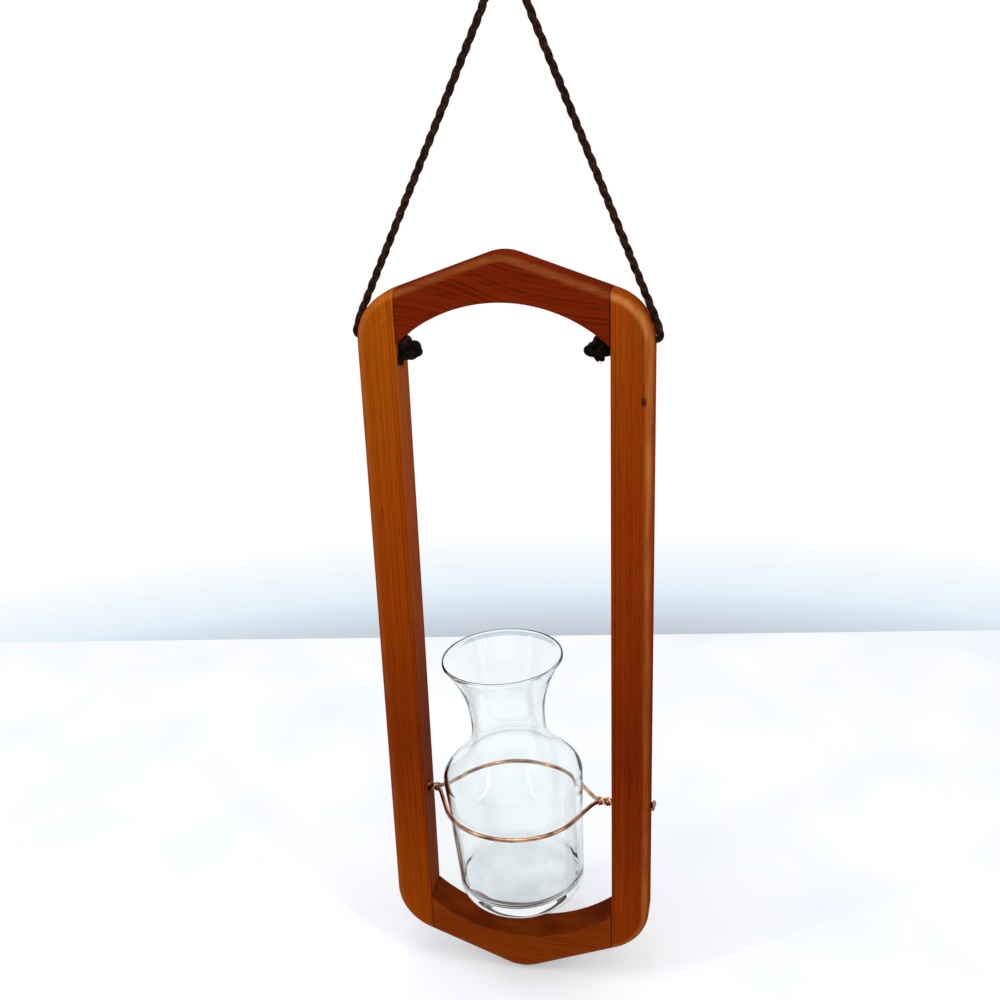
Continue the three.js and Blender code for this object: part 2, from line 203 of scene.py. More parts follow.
# Stage: a pale floor under a pale backdrop, in metres
FLOOR_HEIGHT = -0.4625
FLOOR_FAR_MIDDLE = np.array([-0.093, 0.358])
FLOOR_ALONG = (0.332, 0.0544)
FLOOR_HALF_WIDTH = 2.5
FLOOR_DEPTH = 2.2
FLOOR_GREY = (0.7, 0.72, 0.77, 1.0)
FLOOR_PALE = (0.8, 0.805, 0.82, 1.0)
FLOOR_CLOUD_SCALE = (11, 11, 11)
FLOOR_CLOUD_LEVELS = (0.35, 0.65)
FLOOR_GLOW = 0.32
DAYLIGHT = (0.97, 0.985, 1.0, 1.0)

# Backdrop: its colours from the floor's far edge upward, and its strength for each kind of ray
BACKDROP_LEVELS = (-0.452, -0.372)
BACKDROP_COLOURS = [(0.0, (188, 198, 208)), (0.46, (228, 241, 250)), (1.0, (255, 255, 255))]
AHEAD_LEVELS = (-0.2, 0.5)
OVERHEAD_LEVELS = (0.2, 0.8)
MIRRORED_LEAST = 0.08
MIRRORED_AHEAD = 0.7
MIRRORED_OVERHEAD = 1.0
REFRACTED_BEHIND = 0.3
REFRACTED_AHEAD = 1.0
BACKDROP_LIGHT = 0.55

# Lamps: name, place, what it faces, width and height, and power
FACED_MIDDLE = (0, 0, -0.28)
FACED_SHOULDER = (-0.007, 0, -0.35)
LAMPS = [
    ("left_strip", (-0.555, -0.42, 0.37), FACED_SHOULDER, (0.035, 0.5), 1.0),
    ("right_strip", (0.455, -0.4, 0.44), FACED_SHOULDER, (0.035, 0.5), 1.0),
    ("top_lamp", (-0.15, -0.2, 0.95), FACED_MIDDLE, (0.7, 0.45), 3.8),
    ("right_lamp", (1.0, -0.35, 0.1), FACED_MIDDLE, (0.5, 1.1), 1.8),
    ("left_lamp", (-1.0, -0.5, 0.2), FACED_MIDDLE, (0.5, 1.1), 1.5),
    ("front_lamp", (0.1, -1.3, 0.5), FACED_MIDDLE, (1.2, 0.8), 2.5),
]


# Camera

def placed(right, up, back, place):
    """A matrix from three axes and a place."""
    rows = [(right[i], up[i], back[i], place[i]) for i in range(3)]
    return Matrix(rows + [(0, 0, 0, 1)])


def add_camera():
    data = bpy.data.cameras.new("camera")
    data.sensor_width = CAMERA_SENSOR
    data.lens = CAMERA_LENS
    data.clip_start = CAMERA_CLIP
    camera = bpy.data.objects.new("camera", data)
    bpy.context.collection.objects.link(camera)
    camera.matrix_world = placed(CAMERA_RIGHT, CAMERA_UP, CAMERA_BACK, CAMERA_PLACE)
    bpy.context.scene.camera = camera


# Curves and tubes

def unit(vectors):
    vectors = np.asarray(vectors, float)
    return vectors / np.linalg.norm(vectors, axis=-1, keepdims=True)


def through(points, steps):
    """A centripetal curve through the points, with a number of steps between each two."""
    points = np.asarray(points, float)
    first = 2 * points[0] - points[1]
    last = 2 * points[-1] - points[-2]
    p = np.vstack([first, points, last])
    made = []
    for i in range(1, len(p) - 2):
        x0, x1, x2, x3 = p[i - 1:i + 3]
        d0, d1, d2 = (math.sqrt(np.linalg.norm(b - a)) for a, b in ((x0, x1), (x1, x2), (x2, x3)))
        t1 = d1 * ((x1 - x0) / d0 - (x2 - x0) / (d0 + d1) + (x2 - x1) / d1)
        t2 = d1 * ((x2 - x1) / d1 - (x3 - x1) / (d1 + d2) + (x3 - x2) / d2)
        for s in np.arange(steps) / steps:
            made.append(
                x1 + t1 * s + (-3 * x1 + 3 * x2 - 2 * t1 - t2) * s ** 2
                + (2 * x1 - 2 * x2 + t1 + t2) * s ** 3
            )
    made.append(points[-1])
    return np.array(made)


def lengths_along(points):
    return np.concatenate([[0], np.cumsum(np.linalg.norm(np.diff(points, axis=0), axis=1))])


def even_steps(points, step):
    distance = lengths_along(points)
    count = max(2, int(round(distance[-1] / step)))
    at = np.linspace(0, distance[-1], count + 1)
    return np.stack([np.interp(at, distance, points[:, k]) for k in range(3)], axis=1)


def frames_along(points, first_side):
    """Directions to a curve's side and across it, without twist."""
    ahead = unit(np.gradient(points, axis=0))
    side = np.asarray(first_side, float)
    sides = []
    for direction in ahead:
        side = side - np.dot(side, direction) * direction
        side = side / np.linalg.norm(side)
        sides.append(side)
    sides = np.array(sides)
    return sides, np.cross(ahead, sides)


class Shape:
    """Points and faces of one piece, gathered before its mesh is made."""

    def __init__(self):
        self.points = []
        self.faces = []
        self.wear_and_highlight = []

    def add_rings(self, rings):
        """A skin over rings of points, closed at both ends."""
        first = len(self.points)
        count, sides = rings.shape[:2]
        self.points.extend(rings.reshape(-1, 3).tolist())
        for i in range(count - 1):
            for j in range(sides):
                k = (j + 1) % sides
                a = first + i * sides
                b = a + sides
                self.faces.append((a + j, a + k, b + k, b + j))
        self.faces.append(tuple(first + j for j in reversed(range(sides))))
        self.faces.append(tuple(first + (count - 1) * sides + j for j in range(sides)))

    def add_tube(self, points, radius, sides, first_side, lobes=0, lobe_depth=0.0, lobe_pitch=1.0):
        side, other = frames_along(points, first_side)
        distance = lengths_along(points)
        radius = np.broadcast_to(np.asarray(radius, float), (len(points),))
        rings = []
        for j in range(sides):
            angle = 2 * math.pi * j / sides
            swell = radius
            if lobes:
                turn = 2 * math.pi * distance / lobe_pitch
                swell = radius * (1 + lobe_depth * np.cos(lobes * angle - turn))
            away = side * math.cos(angle) + other * math.sin(angle)
            rings.append(points + away * swell[:, None])
        self.add_rings(np.stack(rings, axis=1))


def make_piece(name, shape, material, sharp_angle=None):
    mesh = bpy.data.meshes.new(name)
    mesh.from_pydata((np.asarray(shape.points) * MM).tolist(), [], shape.faces)
    if len(shape.wear_and_highlight):
        mesh.attributes.new("wear_and_highlight", "FLOAT", "POINT").data.foreach_set("value", shape.wear_and_highlight)
    work = bmesh.new()
    work.from_mesh(mesh)
    wide = [face for face in work.faces if len(face.verts) > STRAND_SIDES]
    bmesh.ops.triangulate(work, faces=wide)
    bmesh.ops.recalc_face_normals(work, faces=work.faces)
    work.to_mesh(mesh)
    work.free()
    mesh.materials.append(material)
    piece = bpy.data.objects.new(name, mesh)
    bpy.context.collection.objects.link(piece)
    shade_smooth(mesh, sharp_angle)
    return piece


def shade_smooth(mesh, sharp_angle):
    mesh.polygons.foreach_set("use_smooth", [True] * len(mesh.polygons))
    if sharp_angle:
        mesh.set_sharp_from_angle(angle=math.radians(sharp_angle))


def settle(piece, body, slot, *nodes):
    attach(piece, body)
    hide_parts(*nodes)


# Materials

def srgb(red, green, blue):
    def linear(value):
        value /= 255
        return value / 12.92 if value <= 0.04045 else ((value + 0.055) / 1.055) ** 2.4
    return (linear(red), linear(green), linear(blue), 1.0)


class Nodes:
    """A shader tree, with short calls for the nodes used here."""

    def __init__(self, tree):
        self.tree = tree

    def connect(self, value, socket):
        if isinstance(value, bpy.types.NodeSocket):
            self.tree.links.new(value, socket)
        else:
            socket.default_value = value

    def node(self, kind, inputs=None, **settings):
        made = self.tree.nodes.new(kind)
        for key, value in settings.items():
            setattr(made, key, value)
        for key, value in (inputs or {}).items():
            self.connect(value, made.inputs[key])
        return made

    def math(self, operation, *values):
        return self.node("ShaderNodeMath", dict(enumerate(values)), operation=operation).outputs[0]

    def vector(self, operation, *values, output="Vector"):
        made = self.node("ShaderNodeVectorMath", dict(enumerate(values)), operation=operation)
        return made.outputs[output]

    def ranged(self, value, low, high, to_low=0.0, to_high=1.0, smooth=False):
        inputs = {
            "Value": value, "From Min": low, "From Max": high, "To Min": to_low, "To Max": to_high,
        }
        kind = "SMOOTHSTEP" if smooth else "LINEAR"
        return self.node("ShaderNodeMapRange", inputs, interpolation_type=kind).outputs[0]

    def fade(self, value, low, high, most=1.0, least=0.0):
        return self.ranged(value, low, high, most, least, smooth=True)

    def between(self, value, rise, fall):
        """Rises smoothly to 1 over one range of the value and falls to 0 over another."""
        return self.math("MULTIPLY", self.ranged(value, *rise, smooth=True), self.fade(value, *fall))

    def ramp(self, share, colours):
        made = self.node("ShaderNodeValToRGB", {"Fac": share})
        stops = made.color_ramp.elements
        while len(stops) < len(colours):
            stops.new(1.0)
        for stop, (at, colour) in zip(stops, colours):
            stop.position = at
            stop.color = colour
        return made.outputs[0]


class Finish(Nodes):
    """A material with one shader, whose textures lie in the piece's own coordinates."""

    MIX_SHARE, MIX_FIRST, MIX_SECOND, MIX_RESULT = 0, 6, 7, 2
    NOISE_LOW, NOISE_HIGH = 0.3, 0.7

    def __init__(self, name, **sockets):
        self.material = bpy.data.materials.new(name)
        self.material.use_nodes = True
        super().__init__(self.material.node_tree)
        self.shader = self.tree.nodes["Principled BSDF"]
        for socket, value in sockets.items():
            self.shader.inputs[socket.replace("_", " ")].default_value = value
        self.place = self.node("ShaderNodeTexCoord").outputs["Object"]

    def axis(self, index):
        return self.node("ShaderNodeSeparateXYZ", {0: self.place}).outputs[index]

    def scaled(self, x, y, z):
        return self.node("ShaderNodeMapping", {"Vector": self.place, "Scale": (x, y, z)}).outputs[0]

    def noise(self, vector, scale=1.0, detail=3.0, roughness=0.5):
        inputs = {"Vector": vector, "Scale": scale, "Detail": detail, "Roughness": roughness}
        return self.node("ShaderNodeTexNoise", inputs).outputs["Fac"]

    def spread(self, noise, to_low, to_high):
        """A noise's usual values, spread from one number to another."""
        return self.ranged(noise, self.NOISE_LOW, self.NOISE_HIGH, to_low, to_high)

    def mixed(self, share, first, second, blend="MIX"):
        inputs = {self.MIX_SHARE: share, self.MIX_FIRST: first, self.MIX_SECOND: second}
        made = self.node("ShaderNodeMix", data_type="RGBA", blend_type=blend)
        for index, value in inputs.items():
            self.connect(value, made.inputs[index])
        return made.outputs[self.MIX_RESULT]

    def bump(self, height, distance, strength):
        inputs = {"Height": height, "Distance": distance, "Strength": strength}
        self.feed("Normal", self.node("ShaderNodeBump", inputs).outputs[0])

    def feed(self, socket, value):
        self.tree.links.new(value, self.shader.inputs[socket])


# Wood finish: noise scales across and along the fibres for each metre, then rings, edges paler from
# wear and painted highlight, painted shade in the hollow, and varnish
DRIFT_SCALE = (45.0, 1.8)
FIBRE_SCALE = (1400.0, 30.0)
FLECK_SCALE = (900.0, 90.0)
BROAD_SCALE = (70.0, 9.0)
EDGE_PATCH_SCALE = (420.0, 60.0)
# Patches in the painted shade of the hollow
PATCH_SCALE = (60.0, 34.0)
RING_DRIFT = 0.004
RING_UNEVEN = 2.2
RING_UNEVEN_SCALE = 0.37
LATE_WOOD = (0.35, 0.92)
LATE_WOOD_END = (0.92, 1.0)
LATE_WOOD_SHARES = (0.3, 0.85)
FLECK_LEVELS = (0.6, 0.72)
FLECK_SHARE = 0.45
EDGE_PATCH_LEVELS = (0.3, 0.65, 0.3, 0.95)
PATCH_LEVELS = (0.42, 0.58)
PATCH_LEAST = 0.1
WOOD_KNOT_STRETCH = (1.0, 0.45, 0.5)
WOOD_KNOT_PULL = 0.0022
WOOD_KNOT_REACH = 0.007
WOOD_KNOT_EDGE = (0.0006, 0.0014)
WOOD_KNOT_SHARE = 0.9
WOOD_KNOT_COLOUR = srgb(62, 18, 4)
SEAM_SHARE = 0.85
SEAM_COLOUR = srgb(46, 14, 4)
FIBRE_TONES = (0.86, 1.12)
BROAD_TONES = (0.88, 1.1)
WOOD_ROUGHNESS = (0.5, 0.7)
VARNISH_LEVELS = (0.0, 0.7, 0.014, 0.05)
VARNISH_INSIDE = 0.05
GRAIN_DEPTH = 0.00005
GRAIN_STRENGTH = 0.6
GRAIN_LINE_SHARE = 0.5

# Painted shade on the stiles: tints that darken them lower down, by height in metres
STILE_LOW = -0.46
STILE_HIGH = -0.12
STILE_PAINTED_SHADE = [
    (-0.45, (0.82, 0.62, 0.4)), (-0.406, (0.76, 0.57, 0.35)), (-0.335, (0.56, 0.33, 0.22)),
    (-0.207, (0.86, 0.68, 0.5)), (-0.131, (1.0, 1.0, 1.0)),
]


def growth_lines(finish, ring, ring_spacing):
    """Dark late wood at the end of each growth ring, unevenly spaced."""
    steps = finish.math("MULTIPLY", ring, 1 / (ring_spacing * MM))
    inputs = {"W": finish.math("MULTIPLY", steps, RING_UNEVEN_SCALE), "Detail": 1.0}
    uneven = finish.node("ShaderNodeTexNoise", inputs, noise_dimensions="1D").outputs["Fac"]
    saw = finish.math("FRACT", finish.math("MULTIPLY_ADD", uneven, RING_UNEVEN, steps))
    return finish.between(saw, LATE_WOOD, LATE_WOOD_END)


def seam_shade(finish):
    """A dark line at both ends of a rail, where it butts against the stiles."""
    from_middle = finish.math("SUBTRACT", finish.axis(X_AXIS), FRAME_PLACE[0] * MM)
    end = finish.math("ABSOLUTE", from_middle)
    start = (RAIL_HALF - SEAM_WIDTH) * MM
    full = (RAIL_HALF - SEAM_WIDTH / 3) * MM
    return finish.ranged(end, start, full, 0.0, SEAM_SHARE)


def wood_finish(
    name, pale, dark, wear_and_highlight, ring_place, ring_spacing, along,
    inside=0.0, knot=None, painted_shade_tones=None, seam=False,
):
    """Varnished softwood: rings across ring_place(finish), fibres along an axis, edges paler from wear
    and painted highlight, with painted shade by height or in the hollow where asked.
    """
    finish = Finish(name, Specular_IOR_Level=0.0, Coat_IOR=1.9, Coat_Roughness=0.29)

    def along_fibres(scale, **settings):
        across, lengthwise = scale
        scales = [across] * 3
        scales[along] = lengthwise
        return finish.noise(finish.scaled(*scales), **settings)

    # Growth rings, which bend round a knot, and the fibres
    drift = finish.math("SUBTRACT", along_fibres(DRIFT_SCALE, detail=2.0), 0.5)
    ring = finish.math("MULTIPLY_ADD", drift, RING_DRIFT, ring_place(finish))
    if knot:
        near = finish.vector("SUBTRACT", finish.place, knot)
        near = finish.vector("MULTIPLY", near, WOOD_KNOT_STRETCH)
        near = finish.vector("LENGTH", near, output="Value")
        pulled = finish.fade(near, 0.0, WOOD_KNOT_REACH)
        ring = finish.math("MULTIPLY_ADD", pulled, WOOD_KNOT_PULL, ring)
    line = growth_lines(finish, ring, ring_spacing)
    fibre = along_fibres(FIBRE_SCALE, detail=3.0, roughness=0.6)
    fleck = finish.ranged(along_fibres(FLECK_SCALE, detail=2.0), *FLECK_LEVELS)
    broad = along_fibres(BROAD_SCALE, detail=2.0)
    share = finish.math("MULTIPLY", line, finish.spread(broad, *LATE_WOOD_SHARES))
    share = finish.math("MULTIPLY_ADD", fleck, FLECK_SHARE, share)
    colour = finish.mixed(finish.math("MINIMUM", share, 1.0), pale, dark)

    # Outer edges are above 0 in the attribute and are painted paler, partly from wear and partly as
    # painted highlight; the eased inside is below 0
    edge = finish.node("ShaderNodeAttribute", attribute_name="wear_and_highlight").outputs["Fac"]
    hollow = finish.ranged(edge, -1.0, 0.0, 1.0, 0.0)
    edge_patches = finish.ranged(along_fibres(EDGE_PATCH_SCALE, detail=3.0), *EDGE_PATCH_LEVELS)
    edge = finish.math("MULTIPLY", finish.math("MAXIMUM", edge, 0.0), edge_patches)
    colour = finish.mixed(edge, colour, wear_and_highlight)
    # Painted shade in the hollow, as strong as inside asks, broken by lighter patches of painted
    # caustic light
    patch = along_fibres(PATCH_SCALE, detail=1.0)
    patch = finish.ranged(patch, *PATCH_LEVELS, inside * PATCH_LEAST, inside)
    colour = finish.mixed(finish.math("MULTIPLY", hollow, patch), colour, dark)
    if seam:
        colour = finish.mixed(seam_shade(finish), colour, SEAM_COLOUR)
    # Painted shade: the stiles are tinted darker lower down, by height
    if painted_shade_tones:
        height = finish.ranged(finish.axis(Z_AXIS), STILE_LOW, STILE_HIGH)
        reach = STILE_HIGH - STILE_LOW
        stops = [((at - STILE_LOW) / reach, tint + (1.0,)) for at, tint in painted_shade_tones]
        colour = finish.mixed(1.0, colour, finish.ramp(height, stops), blend="MULTIPLY")
    if knot:
        core = finish.fade(near, *WOOD_KNOT_EDGE, WOOD_KNOT_SHARE)
        colour = finish.mixed(core, colour, WOOD_KNOT_COLOUR)

    # Fibre tones, varnish and relief
    tone = finish.math(
        "MULTIPLY", finish.spread(fibre, *FIBRE_TONES), finish.spread(broad, *BROAD_TONES)
    )
    shade = finish.node("ShaderNodeCombineColor", {"Red": tone, "Green": tone, "Blue": tone})
    finish.feed("Base Color", finish.mixed(1.0, colour, shade.outputs[0], blend="MULTIPLY"))
    finish.feed("Roughness", finish.spread(fibre, *WOOD_ROUGHNESS))
    varnish = finish.ranged(edge, *VARNISH_LEVELS)
    varnish = finish.math("MULTIPLY_ADD", hollow, VARNISH_INSIDE * (1 - inside), varnish)
    finish.feed("Coat Weight", varnish)
    relief = finish.math("MULTIPLY_ADD", line, GRAIN_LINE_SHARE, fibre)
    finish.bump(relief, GRAIN_DEPTH, GRAIN_STRENGTH)
    return finish.material


def axis_place(*shares):
    """Rings as nearly flat layers, at right angles to a direction."""
    def place(finish):
        return finish.vector("DOT_PRODUCT", finish.place, shares, output="Value")
    return place


# Rings of the top rail: where and how sharply they steepen, by how much, and their even slopes
SWEEP_MIDDLE = 0.0125
SWEEP_SHARPNESS = 62.0
SWEEP_REACH = 0.0048
SWEEP_SLOPE = 0.12
SWEEP_DEPTH_SLOPE = 0.35


def swept_place(finish):
    """Rings that fall to the right and steepen about the middle of the rail."""
    x, y, z = (finish.axis(axis) for axis in (X_AXIS, Y_AXIS, Z_AXIS))
    from_middle = finish.math("ADD", x, SWEEP_MIDDLE)
    steep = finish.math("TANH", finish.math("MULTIPLY", from_middle, SWEEP_SHARPNESS))
    steep = finish.math("MULTIPLY", steep, SWEEP_REACH)
    slope = finish.math("ADD", steep, finish.math("MULTIPLY", x, SWEEP_SLOPE))
    across = finish.math("ADD", z, finish.math("MULTIPLY", y, SWEEP_DEPTH_SLOPE))
    return finish.math("ADD", across, slope)


# Cord finish: a dark yarn with paler fibres, and painted shade that darkens the knots
YARN_DARK = srgb(16, 6, 4)
YARN_PALE = srgb(90, 51, 34)
KNOT_PAINTED_SHADE = srgb(5, 2, 2)
YARN_FINE_SCALE = 2200.0
YARN_PATCH_SCALE = 420.0
YARN_FINE_LEVELS = (0.4, 0.68)
YARN_PATCH_LEVELS = (0.32, 0.62)
YARN_ROUGHNESS = (0.5, 0.75)
YARN_RELIEF = 0.00015
YARN_RELIEF_STRENGTH = 0.8
KNOT_SHADE_LEVELS = (-0.1375, -0.1395, 0.0, 0.8)


def cord_finish():
    finish = Finish("dark_cord", Specular_IOR_Level=0.06, Sheen_Weight=0.02, Sheen_Roughness=0.5)
    fine = finish.noise(finish.place, scale=YARN_FINE_SCALE, detail=3.0, roughness=0.6)
    patch = finish.noise(finish.place, scale=YARN_PATCH_SCALE, detail=2.0)
    share = finish.math(
        "MULTIPLY", finish.ranged(fine, *YARN_FINE_LEVELS), finish.ranged(patch, *YARN_PATCH_LEVELS)
    )
    colour = finish.mixed(share, YARN_DARK, YARN_PALE)
    # Painted shade: below the cord holes the cord darkens almost to black, in the knots
    tied = finish.ranged(finish.axis(Z_AXIS), *KNOT_SHADE_LEVELS)
    finish.feed("Base Color", finish.mixed(tied, colour, KNOT_PAINTED_SHADE))
    finish.feed("Roughness", finish.spread(fine, *YARN_ROUGHNESS))
    finish.bump(fine, YARN_RELIEF, YARN_RELIEF_STRENGTH)
    return finish.material


# Copper finish: bright metal under clouds of tarnish
COPPER_BRIGHT = srgb(230, 180, 146)
COPPER_TARNISHED = srgb(128, 85, 62)
TARNISH_SCALE = 120.0
TARNISH_LEVELS = (0.36, 0.62)
SCRATCH_SCALE = (900, 900, 900)
COPPER_ROUGHNESS = (0.07, 0.17)
SCRATCH_DEPTH = 0.00003
SCRATCH_STRENGTH = 0.4


def copper_finish():
    finish = Finish("copper", Metallic=1.0)
    cloud = finish.noise(finish.place, scale=TARNISH_SCALE, detail=3.0)
    fine = finish.noise(finish.scaled(*SCRATCH_SCALE), detail=3.0)
    tarnish = finish.ranged(cloud, *TARNISH_LEVELS)
    finish.feed("Base Color", finish.mixed(tarnish, COPPER_BRIGHT, COPPER_TARNISHED))
    finish.feed("Roughness", finish.spread(fine, *COPPER_ROUGHNESS))
    finish.bump(fine, SCRATCH_DEPTH, SCRATCH_STRENGTH)
    return finish.material


# Glass finish: heights in metres where its band of painted shade, its waves and its side streaks begin
# and end
CLEAR_GLASS = (0.955, 0.985, 0.978, 1.0)
GLASS_PAINTED_SHADE = (0.6, 0.64, 0.69, 1.0)
GREY_RISE = (-0.4, -0.432)
GREY_FALL = (-0.44, -0.449)
GREY_SCALE = (80, 80, 60)
GREY_LEVELS = (0.3, 0.6)
WAVE_SCALE = (55, 55, 26)
WAVE_FALL = (-0.425, -0.445, 1.0, 0.05)
STREAK_SCALE = (130, 130, 20)
STREAK_RISE = (-0.365, -0.395)
STREAK_FALL = (-0.441, -0.449)
STREAK_FROM_AXIS = (0.014, 0.026)
GLASS_RELIEF = 0.0007
GLASS_RELIEF_STRENGTH = 0.6


def glass_finish():
    finish = Finish("clear_glass", Transmission_Weight=1.0, Roughness=0.0, IOR=1.36)
    height = finish.axis(Z_AXIS)
    # Painted shade: a cloudy grey band low in the vase
    cloud = finish.noise(finish.scaled(*GREY_SCALE), detail=3.0)
    painted_shade = finish.math(
        "MULTIPLY", finish.between(height, GREY_RISE, GREY_FALL), finish.ranged(cloud, *GREY_LEVELS)
    )
    finish.feed("Base Color", finish.mixed(painted_shade, CLEAR_GLASS, GLASS_PAINTED_SHADE))
    wave = finish.noise(finish.scaled(*WAVE_SCALE), detail=1.0)
    wave = finish.math("MULTIPLY", wave, finish.fade(height, *WAVE_FALL))
    vase_x = (FRAME_PLACE[0] - VASE_OFFSET) * MM
    from_axis = finish.math("SUBTRACT", finish.axis(X_AXIS), vase_x)
    aside = finish.ranged(finish.math("ABSOLUTE", from_axis), *STREAK_FROM_AXIS, smooth=True)
    body = finish.between(height, STREAK_RISE, STREAK_FALL)
    streak = finish.noise(finish.scaled(*STREAK_SCALE), detail=1.0)
    streak = finish.math("MULTIPLY", streak, finish.math("MULTIPLY", body, aside))
    finish.bump(finish.math("ADD", wave, streak), GLASS_RELIEF, GLASS_RELIEF_STRENGTH)
    return finish.material


# Cord

def plait(points, first_side, phase, sign, swell=1.0):
    """Strands that cross over each other along a curve."""
    shape = Shape()
    across, depth = frames_along(points, first_side)
    turn = 2 * math.pi * lengths_along(points) / PLAIT_PITCH
    for strand in range(STRANDS):
        angle = phase + sign * turn + strand * 2 * math.pi / STRANDS
        centre = (
            points
            + across * (swell * PLAIT_HALF_WIDTH * np.sin(angle))[:, None]
            + depth * (swell * sign * PLAIT_HALF_DEPTH * np.sin(2 * angle))[:, None]
        )
        shape.add_tube(
            centre, STRAND_RADIUS * swell, STRAND_SIDES, first_side,
            YARN_LOBES, YARN_DEPTH, YARN_PITCH,
        )
    return shape


def add_free_cord(material):
    route = [(x, 0, z) for x, z in CORD_ROUTE]
    points = even_steps(through(route, CORD_CURVE_STEPS), CORD_STEP)
    length = lengths_along(points)[-1]
    first_side = unit(np.cross(points[1] - points[0], (0, 1, 0)))
    piece = make_piece("plaited_cord", plait(points, first_side, 0.0, 1), material)
    settle(piece, "hanger", "cord", "hanging_cord")
    return points, first_side


def knot_route(knot):
    """An overhand knot, from the side that faces the stile round to its cut end."""
    axis = unit(knot["axis"])
    from_side = np.array(knot["from_side"])
    second = -unit(from_side - np.dot(from_side, axis) * axis)
    first = np.cross(second, axis)
    route = []
    for t in np.linspace(KNOT_START, KNOT_END, KNOT_STEPS):
        u = math.sin(t) + 2 * math.sin(2 * t)
        v = math.cos(t) - 2 * math.cos(2 * t)
        w = -KNOT_DEPTH * math.sin(3 * t)
        route.append(np.array(knot["middle"]) + knot["size"] * (first * u + second * v + axis * w))
    tied = route[-1]
    tail = unit(knot["tail"])
    for share in (0.5, 1.0):
        route.append(tied + tail * knot["tail_length"] * share)
    return route


def add_fray(shape, end, ahead, seed):
    """Loose fibres round a cut end."""
    rng = np.random.default_rng(seed)
    for _ in range(FRAY_COUNT):
        start = end - ahead * FRAY_START + rng.normal(0, FRAY_SPREAD, 3)
        bend = unit(ahead + rng.normal(0, FRAY_SPREAD, 3))
        half = rng.uniform(*FRAY_REACH) / 2
        fibre = through([start, start + ahead * half, start + (ahead + bend) * half], FRAY_CURVE_STEPS)
        shape.add_tube(fibre, FRAY_RADIUS, FRAY_SIDES, unit(np.cross(ahead, FRAY_SIDE)))


def add_cord_end(name, side, knot, phase, first_side, material):
    """The cord over a shoulder, through the stile and into its knot."""
    free_x, free_z = CORD_ROUTE[-1 if side > 0 else 0]
    route = [np.array((free_x, 0, free_z)) - FRAME_PLACE]
    route += [np.array((side * x, 0, z)) for x, z in CORD_END_ROUTE]
    route += knot_route(knot)
    points = even_steps(through(route, CORD_END_CURVE_STEPS), CORD_STEP) + FRAME_PLACE
    from_stile = INNER_HALF - np.abs(points[:, 0] - FRAME_PLACE[0])
    swell = 1 + (KNOT_SWELL - 1) * np.clip(from_stile / KNOT_SWELL_LENGTH, 0, 1)
    shape = plait(points, first_side, phase, side, swell)
    ahead = unit(points[-1] - points[-CUT_END_POINTS])
    add_fray(shape, points[-1], ahead, FRAY_SEED + side)
    piece = make_piece(name, shape, material)
    settle(piece, "frame", "cord", name.replace("plaited_", ""))


def add_cord(material):
    points, first_side = add_free_cord(material)
    length = lengths_along(points)[-1]
    last_side = unit(np.cross(points[-1] - points[-2], (0, 1, 0)))
    phase = 2 * math.pi * length / PLAIT_PITCH
    add_cord_end("plaited_left_cord_end", -1, LEFT_KNOT, 0.0, first_side, material)
    add_cord_end("plaited_right_cord_end", 1, RIGHT_KNOT, phase, last_side, material)


# Wooden frame

class Outline:
    """A board's front outline: points, and the ways they move as outer or inner edges are worked."""

    def __init__(self):
        self.points = []
        self.outer = []
        self.inner = []

    def add(self, point, outer=(0, 0), inner=(0, 0)):
        self.points.append(point)
        self.outer.append(outer)
        self.inner.append(inner)

    def add_outer_arc(self, centre, radius, start, end, steps):
        for angle in np.radians(np.linspace(start, end, steps + 1)):
            away = (math.cos(angle), math.sin(angle))
            point = (centre[0] + radius * away[0], centre[1] + radius * away[1])
            self.add(point, outer=(-away[0], -away[1]))

    def add_inner_arc(self, centre_z, radius, side, steps):
        edge = math.asin(RAIL_HALF / radius)
        for angle in np.linspace(edge, -edge, steps + 1)[1:-1]:
            away = (math.sin(angle), side * math.cos(angle))
            self.add((radius * away[0], centre_z + radius * away[1]), inner=away)


def edge_layers():
    """Depth and inset of a rounded and of an eased edge, from the middle of a board to its face."""
    start = HALF_THICK - EDGE_RADIUS
    bevel = EASED_EDGE * EASED_BEVEL
    straight_steps = EDGE_STEPS - 2
    layers = [((start, 0.0), (start, 0.0))]
    for step in range(1, EDGE_STEPS + 1):
        angle = step / EDGE_STEPS * math.pi / 2
        rounded = (start + EDGE_RADIUS * math.sin(angle), EDGE_RADIUS * (1 - math.cos(angle)))
        eased = (HALF_THICK, EASED_EDGE)
        if step <= straight_steps:
            eased = (start + (EDGE_RADIUS - EASED_EDGE) * step / straight_steps, 0.0)
        elif step < EDGE_STEPS:
            eased = (HALF_THICK - bevel, bevel)
        layers.append((rounded, eased))
    layers.append(((HALF_THICK, EDGE_RADIUS + CAP_MARGIN), (HALF_THICK, EASED_EDGE + CAP_MARGIN)))
    return layers


